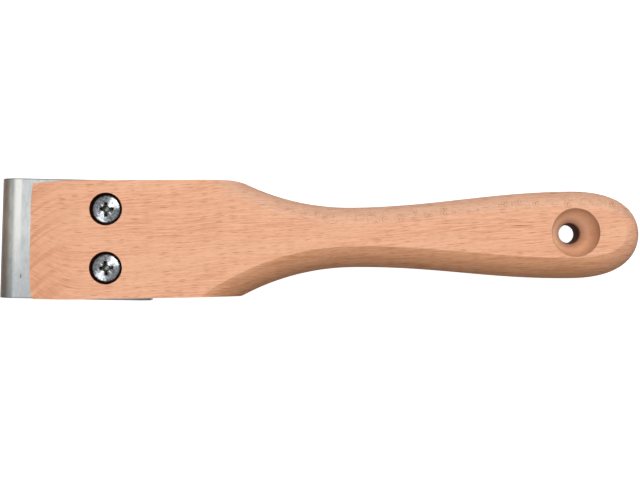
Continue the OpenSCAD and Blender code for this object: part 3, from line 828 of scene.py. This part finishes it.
def washer(side):
    """A punched washer."""
    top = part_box(f"{side}_washer")[1].z
    low = top - washer_t
    profile = (arc((washer_r - round_e, top - round_e), round_e, pi / 2, 0, 6)
               + arc((washer_r - sharp_e, low + sharp_e), sharp_e, 0, -pi / 2, 3)
               + arc((washer_bore_r + sharp_e, low + sharp_e), sharp_e, -pi / 2, -pi, 3)
               + arc((washer_bore_r + round_e, top - round_e), round_e, pi, pi / 2, 6))
    bm = bmesh.new()
    lathe(bm, profile + profile[:1], 96, axes[side])
    made = piece(f"{side}_punched_washer", bm)
    smooth(made, 35 * DEG)
    return made


def nut(side):
    """A hexagon nut, its corners chamfered, with a real thread in its bore."""
    low, high = (corner.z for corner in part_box(f"{side}_nut"))
    high -= bearing_gap
    corner_r = nut_w / 2 / cos(30 * DEG)
    face_r = face_share * nut_w / 2
    wide_r = corner_r + overrun
    fall = (wide_r - face_r) * tan(30 * DEG)
    in_place = Matrix.Translation(axes[side] + Vector((0, 0, (low + high) / 2)))
    bm = bmesh.new()
    bmesh.ops.create_cone(
        bm, cap_ends=True, cap_tris=False, segments=6, radius1=corner_r, radius2=corner_r,
        depth=high - low, matrix=in_place @ Matrix.Rotation(nut_a[side] + 30 * DEG, 4, "Z"),
    )
    made = piece(f"{side}_hex_nut", bm)
    lower = [(0, low), (face_r, low), (wide_r, low + fall)]
    upper = [(wide_r, high - fall), (face_r, high), (0, high)]
    bm = bmesh.new()
    lathe(bm, lower + upper, 96, axes[side])
    carve(made, piece("turned", bm), "INTERSECT")
    bm = bmesh.new()
    threaded_rod(bm, screw_r + thread_clear + thread_h, low - pitch, high + pitch, axes[side])
    carve(made, piece("tap", bm))
    bm = bmesh.new()
    for end, way in ((low, 1), (high, -1)):
        start, stop = end - way * overrun, end + way * (nut_sink + overrun)
        cone = [(screw_r + nut_sink + overrun, start), (screw_r - overrun, stop)]
        lathe(bm, [(0, start)] + cone + [(0, stop)], 64, axes[side])
    carve(made, piece("countersinks", bm))
    smooth(made, 25 * DEG)
    return made


# Bright zinc plate is faintly clouded, which softens what it mirrors.
zinc, tree, shader = surface("bright_zinc_plate", {"Metallic": 1.0})
place = add(tree, "TexCoord").outputs["Object"]
sized = add(tree, "Mapping", {"Vector": place, "Scale": pattern_scale(1.2, 1.2, 1.2)})
cloud = add(tree, "TexNoise", {"Vector": sized.outputs[0], "Scale": 1.0, "Detail": 3.0})
clouded = add(tree, "MapRange", {"Value": cloud.outputs["Fac"], 1: 0.3, 2: 0.7},
              interpolation_type="SMOOTHSTEP")
colour = add(tree, "Mix", {0: clouded.outputs[0], 6: linear("b4b8ba"), 7: linear("d2d5d6")},
             data_type="RGBA")
sheen = add(tree, "MapRange", {"Value": cloud.outputs["Fac"], 1: 0.25, 2: 0.75, 3: 0.26, 4: 0.38})
tree.links.new(colour.outputs[2], shader.inputs["Base Color"])
tree.links.new(sheen.outputs[0], shader.inputs["Roughness"])
for side in ("left", "right"):
    dress(washer(side), zinc, f"{side}_washer")
    dress(nut(side), zinc, f"{side}_nut")

# Floor, light and camera
# A white table under the blade's ends, a large soft lamp up and to the right, a larger one
# overhead, two more that only the metal shows, and the camera nearly straight above.
table_gap = 0.2 * MM
table_r = 9
tool_x = -110 * MM
bm = bmesh.new()
bmesh.ops.create_circle(bm, cap_ends=True, segments=96, radius=table_r)
bmesh.ops.translate(bm, verts=bm.verts, vec=(-0.1, 0, handle_low.z - lip_h - table_gap))
table = piece("table", bm)


def seen_rays(tree):
    """1 for rays from the camera, a mirror or glass, and 0 for light that only bounces."""
    path = add(tree, "LightPath").outputs
    seen = add(tree, "Math", {0: path["Is Camera Ray"], 1: path["Is Glossy Ray"]},
               operation="MAXIMUM")
    return add(tree, "Math", {0: seen.outputs[0], 1: path["Is Transmission Ray"]},
               operation="MAXIMUM")


# White paper: it shows white to the camera and in the metal, and throws little light back.
paper, tree, shader = surface("white_paper", {
    "Roughness": 0.9, "Base Color": linear("a0a0a0"), "Specular IOR Level": 0.0,
    "Emission Color": (1, 1, 1, 1),
})
tree.links.new(seen_rays(tree).outputs[0], shader.inputs["Emission Strength"])
table.data.materials.append(paper)


def lamp(name, direction, distance, size, power):
    """A square soft lamp that faces the middle of the tool from that direction."""
    target = Vector((tool_x, 0, 0))
    light = bpy.data.lights.new(name, "AREA")
    light.shape = "SQUARE"
    light.size = size
    light.energy = power
    made = bpy.data.objects.new(name, light)
    bpy.context.scene.collection.objects.link(made)
    back = Vector(direction).normalized()
    made.location = target + back * distance
    made.rotation_euler = back.to_track_quat("Z", "Y").to_euler()
    return made


lamp("key", (0.14, 0.36, 0.9), 1.6, 1.3, 20).visible_glossy = False
lamp("overhead", (-0.3, 0, 1), 1.5, 2, 12).visible_glossy = False
lamp("glint_left", (-0.48, -0.38, 0.8), 1.3, 0.5, 9).visible_diffuse = False
lamp("glint_right", (0.33, 0.48, 0.8), 1.3, 0.8, 31).visible_diffuse = False

world = bpy.data.worlds.new("studio")
bpy.context.scene.world = world
world.use_nodes = True
tree = world.node_tree
strength = add(tree, "MapRange", {"Value": seen_rays(tree).outputs[0], 3: 0.06, 4: 1.0})
sky = tree.nodes["Background"]
sky.inputs["Color"].default_value = (1, 1, 1, 1)
tree.links.new(strength.outputs[0], sky.inputs["Strength"])

eye = bpy.data.cameras.new("camera")
eye.lens = 55.069
eye.sensor_width = 36
camera = bpy.data.objects.new("camera", eye)
bpy.context.scene.collection.objects.link(camera)
camera.location = (-0.11342, -0.01543, 0.435)
camera.rotation_euler = (1.8721 * DEG, -0.5849 * DEG, -0.6897 * DEG)
bpy.context.scene.camera = camera
bpy.context.scene.view_settings.view_transform = "Standard"
